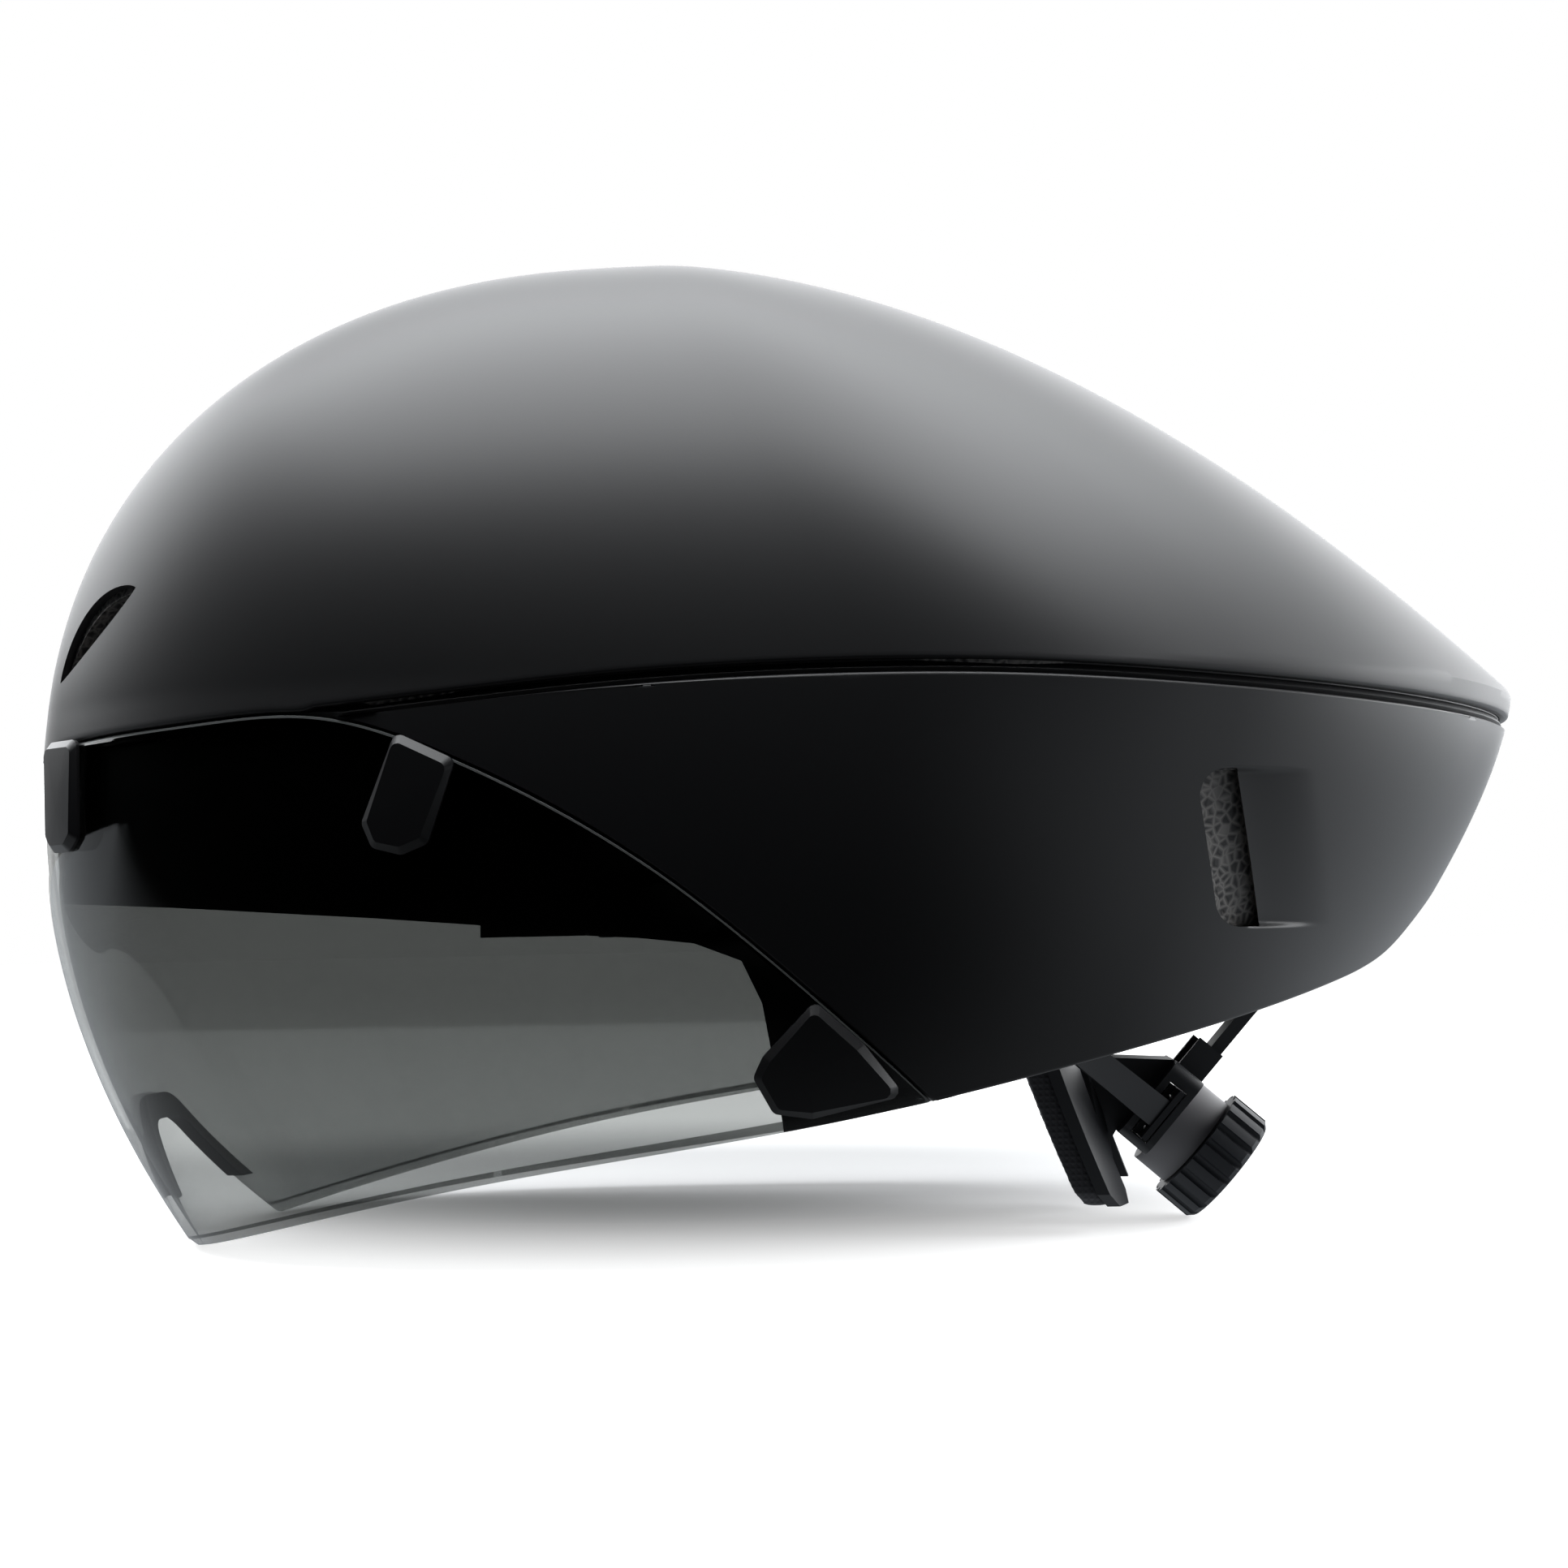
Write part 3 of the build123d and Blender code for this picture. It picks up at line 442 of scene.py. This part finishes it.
def woven(name, colour, scale):
    mat, tree, bsdf = new_material(name)
    coord = tree.nodes.new("ShaderNodeTexCoord")
    both = tree.nodes.new("ShaderNodeMath")
    both.operation = "MAXIMUM"
    for index, direction in enumerate(("X", "Z")):
        wave = tree.nodes.new("ShaderNodeTexWave")
        wave.bands_direction = direction
        wave.inputs["Scale"].default_value = scale
        tree.links.new(coord.outputs["Object"], wave.inputs["Vector"])
        tree.links.new(wave.outputs["Fac"], both.inputs[index])
    bump = tree.nodes.new("ShaderNodeBump")
    bump.inputs["Strength"].default_value = 0.5
    bump.inputs["Distance"].default_value = 0.0003
    tree.links.new(both.outputs["Value"], bump.inputs["Height"])
    tree.links.new(bump.outputs["Normal"], bsdf.inputs["Normal"])
    bsdf.inputs["Base Color"].default_value = (*colour, 1)
    bsdf.inputs["Roughness"].default_value = 0.85
    bsdf.inputs["Sheen Weight"].default_value = 0.3
    return mat


def metal(name, colour, rough):
    mat, tree, bsdf = new_material(name)
    bsdf.inputs["Base Color"].default_value = (*colour, 1)
    bsdf.inputs["Metallic"].default_value = 1.0
    bsdf.inputs["Roughness"].default_value = rough
    noise_bump(tree, bsdf, 900.0, 0.1, 0.00003)
    return mat


looks = {
    "shell_upper": plastic("shell_upper", (0.011, 0.011, 0.012), 0.46),
    "shell_lower": plastic("shell_lower", (0.004, 0.004, 0.005), 0.42),
    "foam": beads("foam"),
    "lens": smoke_glass("lens", (0.522, 0.53, 0.525)),
    "trim": plastic("trim", (0.012, 0.012, 0.013), 0.6),
    "tab": plastic("tab", (0.005, 0.005, 0.006), 0.38),
    "magnet": metal("magnet", (0.60, 0.60, 0.62), 0.25),
    "pad": woven("pad", (0.035, 0.035, 0.040), 260.0),
    "webbing": woven("webbing", (0.018, 0.018, 0.020), 200.0),
    "buckle": plastic("buckle", (0.018, 0.018, 0.020), 0.4),
    "fit": plastic("fit", (0.018, 0.019, 0.022), 0.42),
    "base": plastic("base", (0.17, 0.165, 0.172), 0.5),
    "dial": plastic("dial", (0.016, 0.017, 0.020), 0.38),
    "grip": plastic("grip", (0.020, 0.022, 0.027), 0.55),
}
slot_of = {part["node"]: part["material_slot"] for part in frame["record"]["subparts"]}
for name, obj in nodes.items():
    obj.data.materials.clear()
    obj.data.materials.append(looks[slot_of[name]])


# Height curves that bound the shells and the lens
def upper_low(x, y):
    share = (x - front_x) / shell_length
    blend = smooth((share - split_share) / split_blend_share)
    return (1 - blend) * (lens_top(x) + lens_gap) + blend * parting(x)


def crown_z(x, y):
    return np.full(x.shape, shell_height - crown_gap)


def lower_low(x, y):
    return np.maximum(bottom(x), lens_top(x) + lens_gap)


def lower_high(x, y):
    return parting(x) - groove_w


def notch_z(y):
    y = np.abs(y)
    turn = math.atan2(notch_h, notch_half_w - notch_r)
    centre = notch_r - notch_r * math.tan(turn / 2)
    arc = notch_h - notch_r + np.sqrt(np.maximum(notch_r ** 2 - (y - centre) ** 2, 0))
    line = notch_h * (notch_half_w - y) / (notch_half_w - notch_r)
    return np.where(y < centre, notch_h, np.where(y < centre + notch_r * math.sin(turn), arc, line))


def lens_low(x, y):
    foot = np.where(x < place(bottom_shares[0])[0], 0.0, bottom(x))
    return np.maximum(np.maximum(foot, 0.0), np.where(x < front_x + 0.3 * shell_length, notch_z(y), -9.0))


def lens_high(x, y):
    return lens_top(x)


def scoop(x, z):
    (x_high, z_high), (x_low, z_low) = slot_outline[:2]
    edge = np.interp(z, (z_low, z_high), (x_low, x_high))
    along = 1 - smooth((x - edge) / scoop_l)
    before = smooth((x - edge + scoop_lead) / 2.0)
    window = smooth((z - z_low + scoop_over) / scoop_soft) * smooth((z_high + scoop_over - z) / scoop_soft)
    return scoop_deep * along * before * window


# Rows of the lower skin run level along the rear slot's edges
slot_rows = (0.25, 0.72)


def slot_level(x, share, bottom_z, top_z):
    z_low, z_high = slot_outline[1][1], slot_outline[0][1]
    a, b = slot_rows
    if share < a:
        guided = bottom_z + share / a * (z_low - bottom_z)
    elif share < b:
        guided = z_low + (share - a) / (b - a) * (z_high - z_low)
    else:
        guided = z_high + (share - b) / (1 - b) * (top_z - z_high)
    near = smooth((x - guide_start_x) / guide_full_l) * (1 - smooth((x - guide_end_x) / guide_fade_l))
    return (1 - near) * (bottom_z + share * (top_z - bottom_z)) + near * guided


slot_steps = []
for edge, turn in zip(slot_rows, (1, -1)):
    slot_steps += [edge + slot_step * step * turn for step in range(-5, 8)]


# Upper shell with its front vents
turns = np.linspace(0, 2 * math.pi, dome_points, endpoint=False)
lip = round_lip(0.7)


def dome(name):
    rows = [skin_row(turns, 0, shift, inset, upper_low, crown_z) for shift, inset in lip]
    for step in range(1, dome_rows):
        rows.append(skin_row(turns, math.sin(math.pi / 2 * step / dome_rows), 0, 0, upper_low, crown_z))
    rows.append(skin_row(turns, 1, 0, 0, upper_low, crown_z))
    inner = []
    for step in range(dome_inner_rows):
        share = math.sin(math.pi / 2 * step / dome_inner_rows)
        row = skin_row(turns, share, 0, shell_t, upper_low, crown_z)
        row[:, 2] = np.minimum(row[:, 2], shell_height - shell_t - 0.05)
        inner.append(row)
    grid = np.array(inner[::-1] + rows)
    return grid_object(name, grid, True, False, caps=True)


def leaf_tool(side):
    foot, _ = skin_frame(*place(front_vent_foot_shares), side)
    tip, _ = skin_frame(*place(front_vent_tip_shares), side)
    middle = (foot + tip) / 2
    _, out = skin_frame(middle.x, middle.z, side)
    along = (tip - foot).normalized()
    across = along.cross(out).normalized()
    out = across.cross(along) if across.cross(along).dot(out) > 0 else along.cross(across)
    half = (tip - foot).length / 2
    ring = []
    for step in range(leaf_sides):
        turn = 2 * math.pi * step / leaf_sides
        share = math.cos(turn)
        wide = leaf_inner if math.sin(turn) * side < 0 else leaf_outer
        width = front_vent_w * wide * (1 - share ** 2) ** leaf_power * (1 if math.sin(turn) > 0 else -1)
        ring.append(middle + along * half * share + across * width)
    rings = [[(p + out * depth) * mm for p in ring] for depth in (-leaf_reach, leaf_reach)]
    return tool_object("leaf_tool", rings)


upper = dome("upper_shell_skin")
for side in (-1, 1):
    cut(upper, leaf_tool(side))
dress(upper, "helmet", "shell_upper", "upper_shell")


# Lower shell: the outside is a new skin, the part under the lens is the solid's own
def start_angle():
    for step in range(search_steps):
        angle = math.pi * step / search_steps
        x = skin_row(np.array([angle]), 1, 0, 0, lower_low, lower_high)[:, 0]
        if lower_high(x, 0)[0] <= lens_top(x)[0] + lens_gap and x[0] < 0:
            return angle
    return math.pi / 2


def rounded(outline, radii, steps=8):
    ring = []
    n = len(outline)
    for i, radius in enumerate(radii):
        corner = Vector(outline[i])
        back = (Vector(outline[i - 1]) - corner).normalized()
        ahead = (Vector(outline[(i + 1) % n]) - corner).normalized()
        half = back.angle(ahead) / 2
        reach = radius / math.tan(half)
        centre = corner + (back + ahead).normalized() * radius / math.sin(half)
        a = corner + back * reach - centre
        b = corner + ahead * reach - centre
        for step in range(steps + 1):
            point = a.lerp(b, step / steps).normalized() * radius
            ring.append(centre + point)
    return ring


front_angle = start_angle()
spread = np.linspace(-1, 1, skin_points)
lower = skin_shell("lower_shell_skin", front_angle * spread, False, lower_low, lower_high, shell_t,
                   (round_lip(0.6), round_lip(0.7)), skin_rows, scoop, slot_level, slot_steps)
for side in (-1, 1):
    ring = rounded(slot_outline, slot_radii)
    rings = [[(p[0] * mm, side * y * mm, p[1] * mm) for p in ring] for y in (60, 120)]
    cut(lower, tool_object("slot_tool", rings))
dress(lower, "helmet", "shell_lower", "lower_shell")


# Copy of a solid's mesh, with its faces welded
def copy_of(node, name):
    obj = bpy.data.objects.new(name, nodes[node].data.copy())
    scene.collection.objects.link(obj)
    work = bmesh.new()
    work.from_mesh(obj.data)
    bmesh.ops.remove_doubles(work, verts=work.verts, dist=weld)
    work.to_mesh(obj.data)
    work.free()
    return obj


def under_lens():
    obj = copy_of("lower_shell", "lower_shell_under_lens")
    work = bmesh.new()
    work.from_mesh(obj.data)
    gone = []
    for face in work.faces:
        centre = face.calc_center_median() / mm
        x, z = centre.x, centre.z
        edge = float(lens_top(np.array([x]))[0]) + under_rise
        if z > edge and x > front_x + 0.26 * shell_length or x > front_x + 0.66 * shell_length:
            gone.append(face)
        elif abs(abs(centre.y) - float(body_y(x, z))) < under_depth:
            gone.append(face)
    bmesh.ops.delete(work, geom=gone, context="FACES")
    work.to_mesh(obj.data)
    work.free()
    shade(obj, 30)
    return obj


dress(under_lens(), "helmet", "shell_lower", "lower_shell")


# Plain strip of the skin at one depth, for the groove's floor and the ledge
def strip(name, angles, low_of, high_of, inset, thick):
    obj = skin_shell(name, angles, False, low_of, high_of, thick, ([(0, inset)], [(0, inset)]), 2,
                     lambda x, z: np.full(x.shape, inset))
    return dress(obj, "helmet", "shell_lower", "lower_shell")


# Dark strip of the lower shell's plastic set into the groove between the shells, standing in as painted shade
# for the groove's floor
def groove_shade_low(x, y):
    return np.maximum(parting(x) - groove_w - groove_shade_drop, lens_top(x) + groove_shade_over)


def groove_shade_high(x, y):
    return parting(x)


strip("groove_shade_strip", groove_shade_reach * front_angle * spread[::2], groove_shade_low, groove_shade_high,
      groove_shade_inset, groove_shade_t)


# Angle at which the lens ends, where its upper edge meets the shell's lower edge
def lens_end():
    for step in range(search_steps):
        angle = math.pi * step / search_steps
        x, _ = ring_place(np.array([angle]), np.array([30.0]), 0)
        if x[0] < front_x + 0.7 * shell_length and lens_top(x)[0] > bottom(x)[0] + tip_clear:
            return angle
    return math.pi / 2


# Dark ledge behind the narrow gap above the lens
def ledge_low(x, y):
    return np.maximum(lens_top(x) - ledge_drop, bottom(x) + ledge_rise)


def ledge_high(x, y):
    return lens_top(x) + lens_gap + ledge_rise


first = lens_end()
angles = first + (2 * math.pi - 2 * first) * np.linspace(0, 1, lens_points)
strip("lower_shell_ledge", angles, ledge_low, ledge_high, ledge_inset, ledge_t)


def edge_low(x, y):
    return np.maximum(lens_top(x) - edge_w, bottom(x) + 0.1)


# Lens with a bevel along its lower edge and a rounded upper edge, which carries a lighter grey strip as a
# painted highlight
bevel = [(0, 0.9), (0.9, 0.45), (1.8, 0.05), (2.1, 0)]
lens_lips = (bevel, round_lip(0.4, 3))
lens = skin_shell("lens_skin", angles, False, lens_low, lens_high, lens_t, lens_lips, lens_rows)
dress(lens, "shield", "lens", "shield_lens")
# Thin lighter grey glossy strip along the lens's upper edge: a painted highlight line
edge_lips = ([(0, -edge_proud)], [(0, 0.15), (0.1, 0.0)])
edge = skin_shell("lens_upper_edge", angles, False, edge_low, lens_high, edge_t, edge_lips, 3,
                  lambda x, z: np.full(x.shape, -edge_proud))
dress(edge, "shield", "lens", "shield_lens")
edge.data.materials.clear()
edge.data.materials.append(plastic("lens_edge_painted_highlight", (0.10, 0.105, 0.105), 0.18))


# Tabs with a bevelled rim
def tab_object(name, side):
    outline = rounded([place(share) for share in tabs[name]], [tab_r] * len(tabs[name]), 4)
    centre = sum((Vector(p) for p in outline), Vector((0, 0))) / len(outline)
    loops = [(1.0, tab_lift), (1.0, tab_lift + 0.35 * tab_t), (0.80, tab_lift + tab_t)]
    loops += [(0.55, tab_lift + tab_t), (0.25, tab_lift + tab_t), (0.01, tab_lift + tab_t)]
    loops = [(0.01, tab_lift), (0.5, tab_lift)] + loops
    grid = []
    for scale, lift in loops:
        row = []
        for p in outline:
            offset = Vector(p) - centre
            shrink = max(0.0, offset.length - tab_bevel) / offset.length if scale == 0.80 else scale
            spot = centre + offset * shrink
            base, out = skin_frame(spot.x, spot.y, side)
            row.append(tuple(base + out * lift))
        grid.append(row)
    label = "left" if side < 0 else "right"
    obj = grid_object(f"{name}_tab_{label}_skin", np.array(grid), True, False, caps=True)
    shade(obj, 22)
    return dress(obj, "shield", "tab", f"{name}_tab_{label}")


tabs = {"front": front_tab_shares, "side": side_tab_shares, "rear": rear_tab_shares}
for name in tabs:
    for side in (-1, 1):
        tab_object(name, side)


# Bead foam showing behind the vents
def foam_patch(name, side, ring_x, ring_z):
    grid = []
    for layer in (patch_inset, patch_inset + patch_t):
        rows = []
        for z in np.linspace(*ring_z, patch_points):
            xs = np.linspace(*ring_x, patch_points)
            zs = np.full(patch_points, z)
            rows.append(np.stack([xs, side * body_y(xs, zs, layer), zs], axis=1))
        grid += rows[::-1] if grid else rows
    return dress(grid_object(name, np.array(grid), False, True), "helmet", "foam")


for side, label in ((-1, "left"), (1, "right")):
    foam_patch(f"rear_vent_foam_{label}", side, (78, 95.5), (58, 90.5))
    foam_patch(f"front_vent_foam_{label}", side, (-139.0, -115.0), (111.0, 131.0))


# Soft pieces: rounded from their solids' outlines, within the same box
def soft_copy(node, body, slot_name, voxel, rounds):
    obj = copy_of(node, f"{node}_soft")
    voxel = voxel * 1
    steps = (("REMESH", {"mode": "VOXEL", "voxel_size": voxel, "use_smooth_shade": True}),
             ("SMOOTH", {"factor": 0.5, "iterations": rounds}))
    for kind, values in steps:
        mod = obj.modifiers.new(kind.lower(), kind)
        for key, value in values.items():
            setattr(mod, key, value)
    bpy.context.view_layer.update()
    mesh = bpy.data.meshes.new_from_object(obj.evaluated_get(bpy.context.evaluated_depsgraph_get()))
    obj.modifiers.clear()
    obj.data = mesh
    dress(obj, body, slot_name, node)
    return obj


for node in ("brow_pad", "side_pad_left", "side_pad_right", "crown_pad"):
    soft_copy(node, "helmet", "pad", 0.0008, 14)
for node in ("nape_pad_left", "nape_pad_right"):
    soft_copy(node, "cradle", "pad", 0.0006, 10)
for kind in ("chin", "front", "rear"):
    for label in ("left", "right"):
        soft_copy(f"{kind}_strap_{label}", "helmet", "webbing", 0.0004, 3)

# Smooth step of a value from one span to another
def span(tree, source, start, end, low_value, high_value):
    node = tree.nodes.new("ShaderNodeMapRange")
    node.interpolation_type = "SMOOTHSTEP"
    for key, value in (("From Min", start), ("From Max", end), ("To Min", low_value), ("To Max", high_value)):
        node.inputs[key].default_value = value
    tree.links.new(source, node.inputs["Value"])
    return node.outputs["Result"]


# Place on an object, or a direction in the world, split into its parts
def split_place(tree, kind):
    coord = tree.nodes.new("ShaderNodeTexCoord")
    parts = tree.nodes.new("ShaderNodeSeparateXYZ")
    tree.links.new(coord.outputs[kind], parts.inputs["Vector"])
    return coord.outputs[kind], parts.outputs


# Floor, white to the camera beyond a soft oval; inside the oval and behind the helmet the floor is painted
# darker as a painted shadow, over the shadow the lamps cast
def floor_material():
    mat, tree, bsdf = new_material("floor")
    link = tree.links.new
    bsdf.inputs["Roughness"].default_value = 0.9
    bsdf.inputs["Specular IOR Level"].default_value = 0.0
    spot, along = split_place(tree, "Object")
    # Painted shadow: the floor's colour darkens from 0.80 in front to 0.30 behind the helmet
    link(span(tree, along["Y"], -0.04, 0.18, 0.80, 0.30), bsdf.inputs["Base Color"])

    # Painted shadow: inside a soft oval around the helmet the white glow fades out, so the floor shows grey
    # there
    around = tree.nodes.new("ShaderNodeMapping")
    around.vector_type = "TEXTURE"
    around.inputs["Location"].default_value = (-0.03, 0.11, 0)
    around.inputs["Scale"].default_value = (0.19, 0.17, 1)
    far = tree.nodes.new("ShaderNodeVectorMath")
    far.operation = "LENGTH"
    glow = tree.nodes.new("ShaderNodeEmission")
    both = tree.nodes.new("ShaderNodeAddShader")
    link(spot, around.inputs["Vector"])
    link(around.outputs["Vector"], far.inputs[0])
    link(span(tree, far.outputs["Value"], 0.35, 1.30, 0.0, 1.0), glow.inputs["Strength"])
    link(bsdf.outputs["BSDF"], both.inputs[0])
    link(glow.outputs["Emission"], both.inputs[1])

    # Painted light: to every ray but the camera's the floor glows, dark in front of the helmet and brighter
    # behind it and beside its tail, lighting the shells from below and showing in them as painted reflection
    painted_floor_light = tree.nodes.new("ShaderNodeEmission")
    painted_floor_light.inputs["Color"].default_value = (0.90, 0.95, 1.0, 1)
    total = tree.nodes.new("ShaderNodeMath")
    total.operation = "ADD"
    link(span(tree, along["Y"], -0.20, 0.06, 0.0, 0.55), total.inputs[0])
    link(span(tree, along["X"], 0.10, 0.20, 0.0, 0.45), total.inputs[1])
    link(total.outputs["Value"], painted_floor_light.inputs["Strength"])

    path = tree.nodes.new("ShaderNodeLightPath")
    mix = tree.nodes.new("ShaderNodeMixShader")
    link(path.outputs["Is Camera Ray"], mix.inputs["Fac"])
    link(painted_floor_light.outputs["Emission"], mix.inputs[1])
    link(both.outputs["Shader"], mix.inputs[2])
    link(mix.outputs["Shader"], tree.nodes["Material Output"].inputs["Surface"])
    return mat


bpy.ops.mesh.primitive_plane_add(size=30.0, location=(0, 0, -0.0003))
floor = bpy.context.object
floor.name = "floor"
floor.data.materials.append(floor_material())

# World, white to the camera and behind the helmet
world = bpy.data.worlds.new("world")
scene.world = world
world.use_nodes = True
tree = world.node_tree
back = tree.nodes["Background"]
back.inputs["Color"].default_value = (1, 1, 1, 1)
path = tree.nodes.new("ShaderNodeLightPath")
seen = tree.nodes.new("ShaderNodeMath")
seen.operation = "MAXIMUM"
_, along = split_place(tree, "Generated")
tree.links.new(span(tree, along["Y"], 0.45, 1.0, 0.0, 1.0), seen.inputs[0])
tree.links.new(path.outputs["Is Camera Ray"], seen.inputs[1])
tree.links.new(seen.outputs["Value"], back.inputs["Strength"])


# Soft lamp panel, sizes in metres and power in watts
def panel(name, spot, target, width, height, power):
    light = bpy.data.lights.new(name, "AREA")
    light.shape = "RECTANGLE"
    light.size = width
    light.size_y = height
    light.energy = power
    light.color = (0.96, 0.98, 1.0)
    obj = bpy.data.objects.new(name, light)
    scene.collection.objects.link(obj)
    obj.location = spot
    obj.rotation_mode = "QUATERNION"
    obj.rotation_quaternion = (Vector(target) - Vector(spot)).to_track_quat("-Z", "Y")
    obj.visible_camera = False


panel("top", (0.0, -0.04, 0.95), (0.0, 0, 0.1), 1.6, 1.2, 35)
panel("back", (0.1, 1.1, 0.55), (0, 0, 0.1), 2.6, 1.0, 22)
panel("front_rim", (-0.85, 0.30, 0.55), (-0.05, 0, 0.09), 0.7, 0.6, 5)
panel("tail_rim", (0.95, 0.25, 0.20), (0.05, 0, 0.09), 0.9, 0.9, 14)
